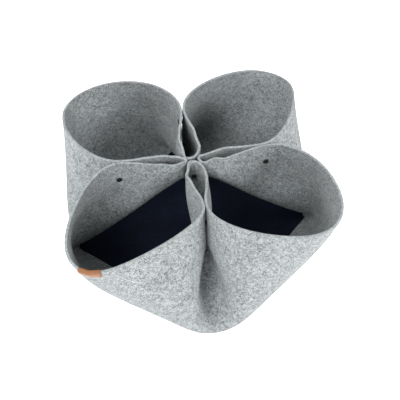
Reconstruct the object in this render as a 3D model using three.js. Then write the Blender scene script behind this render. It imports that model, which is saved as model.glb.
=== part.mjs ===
// Foldable cat tunnel bed: one square of stiff felt whose four corners are drawn up to the centre,
// so that it stands as four tall mouths around one shared floor.
// Millimetres, +Z up, origin on the floor under the middle of the bed.
// The mouths face +X (right), +Y (back), -X (left) and -Y (front).
import * as THREE from 'three';
import { mergeVertices } from 'three/addons/utils/BufferGeometryUtils.js';

// ---- driving dimensions ----
const FELT_THICK = 5;
const BORDER = 44;             // strip along the felt's edge: the press studs sit on its inner line
const TIP_STEP = 16;           // grid cell next to the border: a corner's tip ends on its inner line
const FLAP_STEP = 19;          // grid cells from there to the press stud's line
const FLAP_CELLS = 7;
const WALL_STEP = 17.5;        // grid cells from there to the floor
const WALL_CELLS = 6;
const FLOOR_STEPS = [18, 24, 28, 32, 36, 44]; // grid cells from the floor's edge to its middle
const BORDER_CELLS = 3;        // grid cells across the border
const PRESS_CELLS = 6;         // how deep the layers stay pressed together at a stud
const TIP_CELLS = 4;           // cells of each corner's edge that lie hidden in the bunch, left out
const LAYER_GAP = 4;           // between the two layers at a press stud
const LAYER_ROOM = 3.2;        // from a layer's middle to a plane that it keeps clear of
const CLEARANCE = 0.3;         // between any two pieces

const FLOOR_ROUND = 1.34;      // reach of the flat floor's corners, as a share of its half side
const MAT_THICK = 3;

const CAP_RADIUS = 6.2;
const CAP_HEIGHT = 2.2;
const CAP_EDGE = 0.8;          // height of the cap's straight side
const SOCKET_RADIUS = 5;
const SOCKET_HOLE = 2.5;
const SOCKET_HEIGHT = 2.4;
const STUD_PLATE = 0.7;
const KNOB_RADIUS = 2.1;
const RIVET_RADIUS = 2;        // shank of the rivet through the four tips
const RIVET_REACH = 15;        // from the axis to each of its two caps
const RIVET_HEIGHT = 200;
const ROUND_STEPS = 16;

const TAG_THICK = 1.6;
const TAG_ROOM = 0.6;          // between the tag and the cut edge of the felt

// ---- how the felt settles ----
const STRETCH = 30;            // resistance to a change of length
const BEND = 150;              // resistance to bending
const HOLD = 400;              // grip of the studs and of the floor
const KEEP_OFF = 20;           // push back from a plane that the felt may not cross
const LEAN = 36;               // grip of each mouth's lean, shared out along its middle
const LEAN_WIDTH = 60;         // how far along the edge that grip reaches
const LEAN_REACH = 150;        // where along the edge it ends
const SETTLE_STEPS = 2500;
const MEMORY = 12;             // steps that the search remembers

// Each corner of the felt: its signs of x and y, where its two edges end in the middle of the
// bunch (across and along), how far its quarter is shifted out from the axis, and where the fold
// between the edges ends (out from the axis, and height).
const CORNERS = [
  { name: 'front_right', x: 1, y: -1, across: -1, along: 19, shift: -4, foldOut: 14, foldHeight: 182 },
  { name: 'back_right', x: 1, y: 1, across: 8, along: 19, shift: 4, foldOut: 18, foldHeight: 187 },
  { name: 'back_left', x: -1, y: 1, across: -2, along: 19, shift: -4, foldOut: 14, foldHeight: 186 },
  { name: 'front_left', x: -1, y: -1, across: 8, along: 18, shift: 4, foldOut: 18, foldHeight: 187 },
];
const BUNCH_HEIGHT = 236;      // height at which all the edges end

// Each mouth: the way it faces, and how far out the middle of its edge leans.
const MOUTHS = [
  { name: 'right', x: 1, y: 0, out: 316 },
  { name: 'back', x: 0, y: 1, out: 328 },
  { name: 'left', x: -1, y: 0, out: 314 },
  { name: 'front', x: 0, y: -1, out: 330 },
];

const FLOOR_HALF = FLOOR_STEPS.reduce((sum, step) => sum + step, 0);
const FLOOR_CORNER = FLOOR_HALF * FLOOR_ROUND;
const MAT_HALF = FLOOR_HALF + WALL_STEP;
const STUD_ALONG = BORDER_CELLS + 1 + FLAP_CELLS;
const HALF_STEPS = [
  ...Array(BORDER_CELLS).fill(BORDER / BORDER_CELLS),
  TIP_STEP,
  ...Array(FLAP_CELLS).fill(FLAP_STEP),
  ...Array(WALL_CELLS).fill(WALL_STEP),
  ...FLOOR_STEPS,
];
const HALF = HALF_STEPS.reduce((sum, step) => sum + step, 0);
const CELLS = 2 * HALF_STEPS.length;
const ROW = CELLS + 1;
const MID_Z = FELT_THICK / 2;
const DIAGONAL = Math.SQRT1_2;
const LAYER_HALF = (LAYER_GAP + FELT_THICK) / 2;
const FIN_FROM = HALF - BORDER - TIP_STEP - (FLAP_CELLS + 1.5) * FLAP_STEP;

// Grid lines over the flat square, from one edge to the other.
function gridLines() {
  const lines = [-HALF];
  for (const step of [...HALF_STEPS, ...HALF_STEPS.toReversed()]) lines.push(lines[lines.length - 1] + step);
  return lines;
}

const LINES = gridLines();
const at = (column, row) => row * ROW + column;

// The grid point that lies a number of cells in from a corner, along x and along y.
function fromCorner(corner, cellsX, cellsY) {
  const column = corner.x > 0 ? CELLS - cellsX : cellsX;
  const row = corner.y > 0 ? CELLS - cellsY : cellsY;
  return at(column, row);
}

// The grid point in the middle of a mouth's edge.
function edgeMiddle(mouth) {
  return at((CELLS / 2) * (1 + mouth.x), (CELLS / 2) * (1 + mouth.y));
}

// Whether a grid point, counted in cells from a corner, is in the tip that is left out.
function inTip(cellsX, cellsY) {
  const most = Math.max(cellsX, cellsY);
  const least = Math.min(cellsX, cellsY);
  return most < TIP_CELLS && least < TIP_CELLS - 1;
}

// Flat place, corner and side of every grid point.
function flatSheet() {
  const points = [];
  LINES.forEach((y, row) => {
    LINES.forEach((x, column) => {
      const corner = CORNERS.find((c) => c.x === (x < 0 ? -1 : 1) && c.y === (y < 0 ? -1 : 1));
      const across = DIAGONAL * (y * corner.x - x * corner.y);
      const reach = Math.max(Math.abs(x), Math.abs(y));
      const inner = Math.min(Math.abs(x), Math.abs(y));
      points.push({
        x,
        y,
        corner,
        reach,
        inner,
        side: Math.abs(across) < 1e-6 ? 0 : Math.sign(across),
        floor: Math.hypot(x, y) < FLOOR_CORNER && reach < FLOOR_HALF + 1e-6,
        absent: inTip(Math.min(column, CELLS - column), Math.min(row, CELLS - row)),
      });
    });
  });
  return points;
}

const FLAT = flatSheet();

// Springs between neighbours keep lengths, and triples in a line resist bending.
function sheetLinks() {
  const springs = [];
  const triples = [];
  const flatGap = (a, b) => Math.hypot(FLAT[a].x - FLAT[b].x, FLAT[a].y - FLAT[b].y);
  const pointAt = (column, row) => {
    const outside = column < 0 || row < 0 || column > CELLS || row > CELLS;
    return outside || FLAT[at(column, row)].absent ? -1 : at(column, row);
  };
  const ways = [[1, 0, 1], [0, 1, 1], [1, 1, 0.5], [1, -1, 0.5]];
  for (let row = 0; row <= CELLS; row += 1) {
    for (let column = 0; column <= CELLS; column += 1) {
      const here = pointAt(column, row);
      for (const [dx, dy, share] of ways) {
        const next = pointAt(column + dx, row + dy);
        const last = pointAt(column - dx, row - dy);
        if (here < 0 || next < 0) continue;
        springs.push({ a: here, b: next, length: flatGap(here, next), stiff: STRETCH * share });
        if (last < 0) continue;
        const h1 = flatGap(last, here);
        const h2 = flatGap(here, next);
        const span = (h1 + h2) / 2;
        const weight = BEND * span * WALL_STEP;
        triples.push({ a: last, m: here, b: next, wa: 1 / (h1 * span), wb: 1 / (h2 * span), weight });
      }
    }
  }
  return { springs, triples };
}

// A first, rough cup that the search starts from.
function startShape() {
  const place = new Float64Array(3 * FLAT.length);
  FLAT.forEach((p, k) => {
    const lift = Math.max(0, (p.reach - FLOOR_HALF) / (HALF - FLOOR_HALF));
    const skew = p.inner / (p.reach + 1e-9);
    const lean = 1 + 0.7 * lift * (1 - skew * skew);
    const draw = 1 - skew ** 4 * lift * 0.97;
    const scale = p.floor ? 1 : (FLOOR_HALF / p.reach) * lean * draw;
    place[3 * k] = p.x * scale;
    place[3 * k + 1] = p.y * scale;
    place[3 * k + 2] = MID_Z + lift * (HALF - FLOOR_HALF) * 0.92;
  });
  return place;
}

// The energy of a shape and its slope. A lower energy is a better drape.
function makeEnergy(start) {
  const { springs, triples } = sheetLinks();
  const pressed = new Uint8Array(FLAT.length);
  for (const corner of CORNERS) {
    for (let inset = 0; inset <= PRESS_CELLS; inset += 1) {
      pressed[fromCorner(corner, STUD_ALONG, inset)] = 1;
      pressed[fromCorner(corner, inset, STUD_ALONG)] = 1;
    }
  }

  const isNear = (line) => Math.abs(line) < LEAN_REACH;
  const bell = LINES.map((line) => (isNear(line) ? Math.exp(-((line / LEAN_WIDTH) ** 2)) : 0));
  const bellSum = bell.reduce((sum, share) => sum + share, 0);
  const leanShares = bell.map((share) => share / bellSum);

  return function energy(place, slope) {
    let total = 0;
    slope.fill(0);
    const hold = (index, want, grip) => {
      const off = place[index] - want;
      total += grip * off * off;
      slope[index] += 2 * grip * off;
    };
    for (const { a, b, length, stiff } of springs) {
      const dx = place[3 * b] - place[3 * a];
      const dy = place[3 * b + 1] - place[3 * a + 1];
      const dz = place[3 * b + 2] - place[3 * a + 2];
      const now = Math.sqrt(dx * dx + dy * dy + dz * dz);
      const extra = now - length;
      total += stiff * extra * extra;
      const pull = (2 * stiff * extra) / now;
      slope[3 * a] -= pull * dx;
      slope[3 * a + 1] -= pull * dy;
      slope[3 * a + 2] -= pull * dz;
      slope[3 * b] += pull * dx;
      slope[3 * b + 1] += pull * dy;
      slope[3 * b + 2] += pull * dz;
    }
    for (const { a, m, b, wa, wb, weight } of triples) {
      for (let axis = 0; axis < 3; axis += 1) {
        const pm = place[3 * m + axis];
        const curve = (place[3 * b + axis] - pm) * wb - (pm - place[3 * a + axis]) * wa;
        total += weight * curve * curve;
        const push = 2 * weight * curve;
        slope[3 * a + axis] += push * wa;
        slope[3 * b + axis] += push * wb;
        slope[3 * m + axis] -= push * (wa + wb);
      }
    }
    FLAT.forEach((p, k) => {
      if (p.absent) return;
      if (p.floor) {
        for (let axis = 0; axis < 3; axis += 1) hold(3 * k + axis, start[3 * k + axis], HOLD);
        return;
      }
      if (place[3 * k + 2] < MID_Z) hold(3 * k + 2, MID_Z, HOLD);
      // Each layer of a corner keeps to its own side of the corner's diagonal plane.
      const { corner } = p;
      const nx = -corner.y * DIAGONAL;
      const ny = corner.x * DIAGONAL;
      const across = place[3 * k] * nx + place[3 * k + 1] * ny;
      const room = p.side * (pressed[k] ? LAYER_HALF : LAYER_ROOM);
      if (p.side === 0 || pressed[k] || (across - room) * p.side < 0) {
        const miss = across - room;
        const grip = pressed[k] ? HOLD : KEEP_OFF;
        total += grip * miss * miss;
        slope[3 * k] += 2 * grip * miss * nx;
        slope[3 * k + 1] += 2 * grip * miss * ny;
      }
      // The four drawn-in corners keep to their own quarters.
      if (p.inner > FIN_FROM) {
        const near = LAYER_ROOM + corner.shift;
        if (place[3 * k] * corner.x < near) hold(3 * k, near * corner.x, KEEP_OFF);
        if (place[3 * k + 1] * corner.y < near) hold(3 * k + 1, near * corner.y, KEEP_OFF);
      }
    });
    // The far edge of each mouth leans out by its own amount, with its own curve left to it.
    for (const mouth of MOUTHS) {
      const along = mouth.x ? ROW : 1;
      const axis = mouth.x ? 0 : 1;
      const middle = edgeMiddle(mouth) - (CELLS / 2) * along;
      const spots = leanShares.map((share, line) => 3 * (middle + line * along) + axis);
      const mean = spots.reduce((sum, spot, line) => sum + leanShares[line] * place[spot], 0);
      const off = mean - (mouth.x + mouth.y) * mouth.out;
      total += LEAN * off * off;
      spots.forEach((spot, line) => {
        slope[spot] += 2 * LEAN * off * leanShares[line];
      });
    }
    for (const corner of CORNERS) {
      // The two layers at a press stud share one distance from the axis and one height.
      const one = 3 * fromCorner(corner, STUD_ALONG, BORDER_CELLS);
      const two = 3 * fromCorner(corner, BORDER_CELLS, STUD_ALONG);
      const outX = corner.x * DIAGONAL;
      const outY = corner.y * DIAGONAL;
      const out = (place[one] - place[two]) * outX + (place[one + 1] - place[two + 1]) * outY;
      const up = place[one + 2] - place[two + 2];
      total += HOLD * (out * out + up * up);
      slope[one] += 2 * HOLD * out * outX;
      slope[one + 1] += 2 * HOLD * out * outY;
      slope[one + 2] += 2 * HOLD * up;
      slope[two] -= 2 * HOLD * out * outX;
      slope[two + 1] -= 2 * HOLD * out * outY;
      slope[two + 2] -= 2 * HOLD * up;
      // The edges end side by side in the middle of the bunch.
      for (const [cellsX, cellsY] of [[TIP_CELLS, 0], [0, TIP_CELLS]]) {
        const end = 3 * fromCorner(corner, cellsX, cellsY);
        hold(end, corner.x * (cellsX ? corner.across : corner.along), HOLD);
        hold(end + 1, corner.y * (cellsX ? corner.along : corner.across), HOLD);
        hold(end + 2, BUNCH_HEIGHT, HOLD);
      }
      const fold = 3 * fromCorner(corner, TIP_CELLS - 1, TIP_CELLS - 1);
      hold(fold, outX * corner.foldOut, HOLD);
      hold(fold + 1, outY * corner.foldOut, HOLD);
      hold(fold + 2, corner.foldHeight, HOLD);
    }
    return total;
  };
}

function dot(a, b) {
  let sum = 0;
  for (let k = 0; k < a.length; k += 1) sum += a[k] * b[k];
  return sum;
}

// Limited-memory quasi-Newton search for the shape of least energy.
function settle(start, energy) {
  let place = start;
  let slope = new Float64Array(place.length);
  let value = energy(place, slope);
  let history = [];
  for (let step = 0; step < SETTLE_STEPS; step += 1) {
    const way = slope.map((g) => -g);
    const factors = [];
    for (let k = history.length - 1; k >= 0; k -= 1) {
      const { move, change, scale } = history[k];
      factors[k] = scale * dot(move, way);
      for (let q = 0; q < way.length; q += 1) way[q] -= factors[k] * change[q];
    }
    if (history.length) {
      const { move, change } = history[history.length - 1];
      const gain = dot(move, change) / dot(change, change);
      for (let q = 0; q < way.length; q += 1) way[q] *= gain;
    }
    for (let k = 0; k < history.length; k += 1) {
      const { move, change, scale } = history[k];
      const factor = factors[k] - scale * dot(change, way);
      for (let q = 0; q < way.length; q += 1) way[q] += factor * move[q];
    }
    const fall = dot(slope, way);
    let reach = history.length ? 1 : 1 / Math.sqrt(dot(slope, slope));
    let next = place;
    let nextValue = value;
    const nextSlope = new Float64Array(place.length);
    for (let trial = 0; trial < 25; trial += 1) {
      next = place.map((v, q) => v + reach * way[q]);
      nextValue = energy(next, nextSlope);
      if (nextValue <= value + 1e-4 * reach * fall) break;
      reach *= 0.5;
    }
    if (nextValue >= value) {
      if (!history.length) break;
      history = [];
      continue;
    }
    const move = next.map((v, q) => v - place[q]);
    const change = nextSlope.map((v, q) => v - slope[q]);
    const curve = dot(move, change);
    if (curve > 1e-12) history.push({ move, change, scale: 1 / curve });
    if (history.length > MEMORY) history.shift();
    place = next;
    slope = nextSlope;
    value = nextValue;
  }
  return place;
}

// The settled sheet: middle surface, with the floor exactly flat.
function drapedSheet() {
  const start = startShape();
  const place = settle(start, makeEnergy(start));
  return FLAT.map((p, k) => {
    const from = p.floor ? start : place;
    const spot = new THREE.Vector3().fromArray(from, 3 * k);
    spot.z = Math.max(spot.z, MID_Z);
    return spot;
  });
}

// Triangles of the sheet. A cell's two diagonals are equal when flat, so the one that is longer
// in the settled shape is the one along which the cell bends, and the cell is split there.
function sheetTriangles() {
  const triangles = [];
  for (let row = 0; row < CELLS; row += 1) {
    for (let column = 0; column < CELLS; column += 1) {
      const a = at(column, row);
      const b = at(column + 1, row);
      const c = at(column + 1, row + 1);
      const d = at(column, row + 1);
      if ([a, b, c, d].some((k) => FLAT[k].absent)) continue;
      const longer = MIDDLE[a].distanceTo(MIDDLE[c]) - MIDDLE[b].distanceTo(MIDDLE[d]);
      const onFold = FLAT[a].side === 0 && FLAT[c].side === 0;
      const offFold = FLAT[b].side === 0 && FLAT[d].side === 0;
      if (onFold || (!offFold && longer > 0)) triangles.push([a, b, c], [a, c, d]);
      else triangles.push([a, b, d], [b, c, d]);
    }
  }
  return triangles;
}

const MIDDLE = drapedSheet();
const TRIANGLES = sheetTriangles();

// Unit normals of the middle surface, on the side that faces into the mouths.
function sheetNormals() {
  const normals = MIDDLE.map(() => new THREE.Vector3());
  for (const [a, b, c] of TRIANGLES) {
    const ab = new THREE.Vector3().subVectors(MIDDLE[b], MIDDLE[a]);
    const ac = new THREE.Vector3().subVectors(MIDDLE[c], MIDDLE[a]);
    const face = new THREE.Vector3().crossVectors(ab, ac);
    for (const k of [a, b, c]) normals[k].add(face);
  }
  return normals.map((n) => n.normalize());
}

const NORMALS = sheetNormals();

// A closed mesh from points and triangles.
function closedMesh(points, triangles) {
  const geometry = new THREE.BufferGeometry();
  const flat = triangles.flatMap((t) => t.flatMap((k) => points[k].toArray()));
  geometry.setAttribute('position', new THREE.Float32BufferAttribute(flat, 3));
  const merged = mergeVertices(geometry, 1e-4);
  merged.computeVertexNormals();
  return merged;
}

// A solid between two distances from the sheet's middle surface, with a cut edge all round.
function slab(surface, upper, lower) {
  const count = MIDDLE.length;
  const points = [
    ...MIDDLE.map((p, k) => p.clone().addScaledVector(NORMALS[k], upper)),
    ...MIDDLE.map((p, k) => p.clone().addScaledVector(NORMALS[k], lower)),
  ];
  const triangles = [];
  const edges = new Map();
  for (const [a, b, c] of surface) {
    triangles.push([a, b, c], [c + count, b + count, a + count]);
    for (const [from, to] of [[a, b], [b, c], [c, a]]) {
      const back = `${to},${from}`;
      if (edges.has(back)) edges.delete(back);
      else edges.set(`${from},${to}`, [from, to]);
    }
  }
  for (const [from, to] of edges.values()) {
    triangles.push([to, from, from + count], [to, from + count, to + count]);
  }
  return closedMesh(points, triangles);
}

// The leather tag: a strip bent over one grid cell of the front mouth's edge.
function tagGeometry() {
  const edges = [at(CELLS / 2, 0), at(CELLS / 2 + 1, 0)];
  const gap = FELT_THICK / 2 + CLEARANCE + 0.1;
  const sections = edges.map((edge) => {
    const foot = edge + ROW;
    const out = new THREE.Vector3().subVectors(MIDDLE[edge], MIDDLE[foot]).normalize();
    const corner = (spot, across, beyond) => MIDDLE[spot].clone()
      .addScaledVector(NORMALS[spot], across)
      .addScaledVector(out, beyond);
    return [
      corner(foot, gap, 0),
      corner(edge, gap, TAG_ROOM),
      corner(edge, -gap, TAG_ROOM),
      corner(foot, -gap, 0),
      corner(foot, -gap - TAG_THICK, 0),
      corner(edge, -gap - TAG_THICK, TAG_ROOM + TAG_THICK * 0.4),
      corner(edge, -gap - TAG_THICK * 0.4, TAG_ROOM + TAG_THICK),
      corner(edge, gap + TAG_THICK * 0.4, TAG_ROOM + TAG_THICK),
      corner(edge, gap + TAG_THICK, TAG_ROOM + TAG_THICK * 0.4),
      corner(foot, gap + TAG_THICK, 0),
    ];
  });
  const size = sections[0].length;
  const feltSplit = TRIANGLES.some((t) => t.includes(edges[0]) && t.includes(edges[1] + ROW));
  const triangles = [[0, 1, 8], [0, 8, 9], [1, 2, 7], [1, 7, 8], [2, 3, 4], [2, 4, 5], [2, 5, 6], [2, 6, 7]];
  triangles.push(...triangles.map(([p, q, r]) => [p + size, r + size, q + size]));
  for (let a = 0; a < size; a += 1) {
    const b = (a + 1) % size;
    const towardFoot = a === 2 || a === 8;
    if (towardFoot === feltSplit) triangles.push([a, b + size, b], [a, a + size, b + size]);
    else triangles.push([a, a + size, b], [b, a + size, b + size]);
  }
  return closedMesh(sections.flat(), triangles);
}

// The mat: a pad that lies on the felt's floor and ends part way up the bend around it.
function matGeometry() {
  const inMat = (k) => FLAT[k].reach < MAT_HALF + 1e-6
    && FLAT[k].inner + FLAT[k].reach < 2 * MAT_HALF - 1e-6;
  const triangles = TRIANGLES.filter((t) => t.every(inMat));
  const under = FELT_THICK / 2 + CLEARANCE;
  return slab(triangles, under + MAT_THICK, under);
}

// A round piece from its profile of [radius, height] rows, standing on +Z.
function roundGeometry(profile) {
  const points = profile.map(([radius, height]) => new THREE.Vector2(radius, height));
  return new THREE.LatheGeometry(points, ROUND_STEPS).rotateX(Math.PI / 2);
}

const CAP_PROFILE = [
  [0, 0],
  [CAP_RADIUS, 0],
  [CAP_RADIUS, CAP_EDGE],
  [CAP_RADIUS * 0.8, CAP_HEIGHT * 0.85],
  [0, CAP_HEIGHT],
];
const SOCKET_PROFILE = [
  [SOCKET_HOLE, 0],
  [SOCKET_RADIUS, 0],
  [SOCKET_RADIUS, SOCKET_HEIGHT],
  [SOCKET_HOLE, SOCKET_HEIGHT],
  [SOCKET_HOLE, 0],
];
const STUD_PROFILE = [
  [0, 0],
  [SOCKET_RADIUS, 0],
  [SOCKET_RADIUS, STUD_PLATE],
  [KNOB_RADIUS, STUD_PLATE],
  [KNOB_RADIUS, STUD_PLATE + SOCKET_HEIGHT],
  [0, STUD_PLATE + SOCKET_HEIGHT],
];

// The rivet through the four tips: a shank with a cap at each end, lying along +Z.
const RIVET_PROFILE = [
  [0, -RIVET_REACH - CAP_HEIGHT],
  [CAP_RADIUS * 0.8, -RIVET_REACH - CAP_HEIGHT * 0.85],
  [CAP_RADIUS, -RIVET_REACH - CAP_EDGE],
  [CAP_RADIUS, -RIVET_REACH],
  [RIVET_RADIUS, -RIVET_REACH],
  [RIVET_RADIUS, RIVET_REACH],
  [CAP_RADIUS, RIVET_REACH],
  [CAP_RADIUS, RIVET_REACH + CAP_EDGE],
  [CAP_RADIUS * 0.8, RIVET_REACH + CAP_HEIGHT * 0.85],
  [0, RIVET_REACH + CAP_HEIGHT],
];

const FELT_GREY = new THREE.MeshStandardMaterial({ color: 0xb4bbbe, roughness: 0.95, metalness: 0 });
const MAT_NAVY = new THREE.MeshStandardMaterial({ color: 0x101828, roughness: 0.95, metalness: 0 });
const STUD_DARK = new THREE.MeshStandardMaterial({ color: 0x1c1e20, roughness: 0.35, metalness: 0.8 });
const TAG_TAN = new THREE.MeshStandardMaterial({ color: 0xc98a55, roughness: 0.6, metalness: 0 });

const bed = new THREE.Group();

function addPiece(name, geometry, material) {
  const mesh = new THREE.Mesh(geometry, material);
  mesh.name = name;
  bed.add(mesh);
  return mesh;
}

addPiece('felt_sheet', slab(TRIANGLES, FELT_THICK / 2, -FELT_THICK / 2), FELT_GREY);
addPiece('floor_mat', matGeometry(), MAT_NAVY);
addPiece('leather_tag', tagGeometry(), TAG_TAN);

const UP = new THREE.Vector3(0, 0, 1);

// How far the felt around a grid point rises above its tangent plane within a radius.
function dimpleDepth(spot, radius) {
  const steps = [-ROW - 1, -ROW, -ROW + 1, -1, 1, ROW - 1, ROW, ROW + 1];
  const slopes = steps.map((step) => {
    const way = new THREE.Vector3().subVectors(MIDDLE[spot + step], MIDDLE[spot]);
    const rise = way.dot(NORMALS[spot]);
    return rise / Math.sqrt(way.lengthSq() - rise * rise);
  });
  return radius * Math.max(0, ...slopes);
}

// Press studs: on each layer a cap on the mouth side, and between the layers a socket and a stud.
for (const corner of CORNERS) {
  const layers = [
    { side: 'x', spot: fromCorner(corner, STUD_ALONG, BORDER_CELLS), inside: STUD_PROFILE },
    { side: 'y', spot: fromCorner(corner, BORDER_CELLS, STUD_ALONG), inside: SOCKET_PROFILE },
  ];
  for (const { side, spot, inside } of layers) {
    const seat = FELT_THICK / 2 + CLEARANCE;
    const cap = addPiece(`stud_cap_${corner.name}_${side}`, roundGeometry(CAP_PROFILE), STUD_DARK);
    cap.quaternion.setFromUnitVectors(UP, NORMALS[spot]);
    const lift = seat + dimpleDepth(spot, CAP_RADIUS);
    cap.position.copy(MIDDLE[spot]).addScaledVector(NORMALS[spot], lift);
    const kind = inside === STUD_PROFILE ? 'stud_knob' : 'stud_socket';
    const half = addPiece(`${kind}_${corner.name}`, roundGeometry(inside), STUD_DARK);
    const across = new THREE.Vector3(-corner.y, corner.x, 0).multiplyScalar(DIAGONAL * -FLAT[spot].side);
    half.quaternion.setFromUnitVectors(UP, across);
    half.position.copy(MIDDLE[spot]).addScaledVector(across, seat);
  }
}

const rivet = addPiece('tip_rivet', roundGeometry(RIVET_PROFILE), STUD_DARK);
rivet.quaternion.setFromUnitVectors(UP, new THREE.Vector3(DIAGONAL, -DIAGONAL, 0));
rivet.position.z = RIVET_HEIGHT;

export default bed;
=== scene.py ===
"""Foldable cat tunnel bed: a square of stiff felt drawn up at its corners into four mouths.

Metres, +Z up. The mouths face +X (right), +Y (back), -X (left) and -Y (front).
"""

import math

import bpy
import numpy as np
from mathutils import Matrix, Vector


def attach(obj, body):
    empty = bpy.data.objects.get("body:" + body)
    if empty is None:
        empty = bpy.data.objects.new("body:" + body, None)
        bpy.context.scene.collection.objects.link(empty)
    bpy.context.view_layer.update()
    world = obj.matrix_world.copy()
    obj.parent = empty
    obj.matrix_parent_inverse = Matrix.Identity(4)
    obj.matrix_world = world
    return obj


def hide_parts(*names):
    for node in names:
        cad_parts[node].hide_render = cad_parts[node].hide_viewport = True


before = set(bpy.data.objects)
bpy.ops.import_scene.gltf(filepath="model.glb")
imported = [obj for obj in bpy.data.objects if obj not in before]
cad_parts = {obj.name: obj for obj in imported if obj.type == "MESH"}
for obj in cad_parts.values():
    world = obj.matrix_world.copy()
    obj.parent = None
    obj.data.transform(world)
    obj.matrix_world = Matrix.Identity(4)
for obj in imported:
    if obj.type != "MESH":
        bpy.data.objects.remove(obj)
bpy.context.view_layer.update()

bl_info = {
    "name": "Felt Tunnel Bed",
    "version": (1, 0, 0),
    "blender": (4, 5, 0),
    "location": "View3D > Sidebar > Tunnel Bed",
    "description": "Builds a foldable felt pet bed with four mouths around one floor",
    "category": "Object",
}

MM = 0.001

# ---- the flat felt: sizes in millimetres, as cut ----
FELT_THICKNESS = 5.0
MIDDLE_HEIGHT = FELT_THICKNESS / 2   # of the felt's middle where it lies on the floor
BORDER_STEPS = [44 / 3] * 3          # strip along the edge, with the press studs on its inner line
TIP_STEPS = [16.0]                   # from there to the line that a corner's tip ends on
FLAP_STEPS = [19.0] * 7              # from there to the press stud's line
WALL_STEPS = [17.5] * 6              # from there to the floor
FLOOR_STEPS = [18.0, 24.0, 28.0, 32.0, 36.0, 44.0]
HALF_STEPS = BORDER_STEPS + TIP_STEPS + FLAP_STEPS + WALL_STEPS + FLOOR_STEPS
HALF = sum(HALF_STEPS)
FLOOR_HALF = sum(FLOOR_STEPS)
BORDER_CELLS = len(BORDER_STEPS)
TIP_CELLS = BORDER_CELLS + len(TIP_STEPS)
STUD_CELLS = TIP_CELLS + len(FLAP_STEPS)
FLOOR_ROUND = 1.34                   # reach of the flat floor's corners, as a share of its half side

# ---- how the felt settles ----
STRETCH = 30.0                       # resistance to a change of length
BEND = 150.0                         # resistance to bending
HOLD = 400.0                         # grip of the studs and of the floor
KEEP_OFF = 20.0                      # push back from a plane that the felt may not cross
LEAN = 36.0                          # grip of each mouth's lean, shared out along its middle
LEAN_WIDTH = 60.0                    # how far along the edge that grip reaches
LEAN_REACH = 150.0                   # where along the edge it ends
LAYER_ROOM = 3.2                     # from a layer's middle to a plane that it keeps clear of
LAYER_GAP = 4.0                      # between the two layers at a press stud
CLOSED_GAP = 0.8                     # between them where they are pressed together beside it
STUD_LENGTH = 14.0                   # how far the stud holds them apart
BOW_DEPTH = 3.0                      # how far a tucked tip's wall stands in from the edges' ends
BOW_FADE = 1.5                       # how slowly that wall gives way to the fold below it
BOW_ROUND = 2.5                      # how square its bow is
MEMORY = 12                          # steps that the search remembers
COARSE_STEPS = 1600                  # steps of the search on the coarse grid
FINE_STEPS = 1200                    # and on the fine one
FIN_CELLS = 8.5                      # cells in from the tip's line that keep to their own quarter
DIAGONAL = math.sqrt(0.5)

# Each corner: its signs of x and y, where its two edges end in the bunch (off the axis, across and
# along), how far its quarter is shifted out from the axis, where the fold between its edges ends
# (out from the axis, and height), and how many cells deep its layers stay pressed at the stud.
CORNERS = {
    "front_right": {
        "x": 1, "y": -1, "ends": (-1.0, 19.0), "shift": -4.0, "fold": (14.0, 182.0), "press": 6},
    "back_right": {
        "x": 1, "y": 1, "ends": (8.0, 19.0), "shift": 4.0, "fold": (18.0, 187.0), "press": 6},
    "back_left": {
        "x": -1, "y": 1, "ends": (-2.0, 19.0), "shift": -4.0, "fold": (14.0, 186.0), "press": 9},
    "front_left": {
        "x": -1, "y": -1, "ends": (8.0, 18.0), "shift": 4.0, "fold": (18.0, 187.0), "press": 6},
}
BUNCH_HEIGHT = 236.0                 # height at which all the edges end

# Each mouth: the way it faces, and how far out the middle of its edge leans.
MOUTHS = {
    "right": {"x": 1, "y": 0, "out": 316.0},
    "back": {"x": 0, "y": 1, "out": 328.0},
    "left": {"x": -1, "y": 0, "out": 314.0},
    "front": {"x": 0, "y": -1, "out": 330.0},
}

# Small waves in the bunched edges: how far they reach from the middle, the height they start at and
# the rise to their full depth, their length and their depth. Then, for each way that they push the
# felt, their share of that depth, how their length runs along x and along y, and their phase.
CRUMPLE_REACH = 62.0
CRUMPLE_FROM = 207.0
CRUMPLE_RISE = 26.0
CRUMPLE_LENGTH = 36.0
CRUMPLE_DEPTH = 5.0
CRUMPLE_WAVES = [(1.0, 0.0, 1.0, 0.6), (1.0, 0.85, 0.0, 2.1), (0.8, 0.7, 0.7, 0.0)]

# ---- the mat and the small pieces: in metres, unless a line says millimetres ----
FACE_GAP = 0.0004                    # between the felt's faces and what lies on them
MAT_CHAMFER = 0.0008
MAT_CORNER = 12.0                    # millimetres cut off across each corner of the mat
TAG_FOLD = 0.0022                    # how far the folded tag's nose stands out from the felt's edge
TAG_ROOM = 0.0006                    # between its inside and the felt's edge
TAG_CHAMFER = 0.0004
TAG_SECTIONS = 15                    # along the felt's edge
TAG_TURNS = 9                        # points round its nose
TAG_INSET = 1.0                      # millimetres from the felt's grid lines to the tag's two ends
STITCHES = 4                         # in each of the tag's two rows
STITCH_FIRST = 2.6                   # millimetres from the edge to the first stitch
STITCH_APART = 3.1                   # millimetres from one stitch to the next
STITCH_INSET = 4.0                   # millimetres from the tag's ends to its rows
STITCH_RADIUS = 0.00042
STITCH_HALF = 0.0011                 # half of a stitch's length
STITCH_RISE = 0.0003                 # how far its middle stands over its ends
STITCH_SINK = 0.0001                 # how far its ends sink in
STITCH_RINGS = 7                     # along it
STITCH_SIDES = 8                     # round it
RIVET_HEIGHT = 0.2                   # of the rivet's middle over the floor
RIVET_REACH = 0.015                  # from the axis to each of the rivet's caps
RIVET_SHANK = 0.002                  # radius of its shank
ROUND_STEPS = 32                     # sides of a round piece

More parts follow.
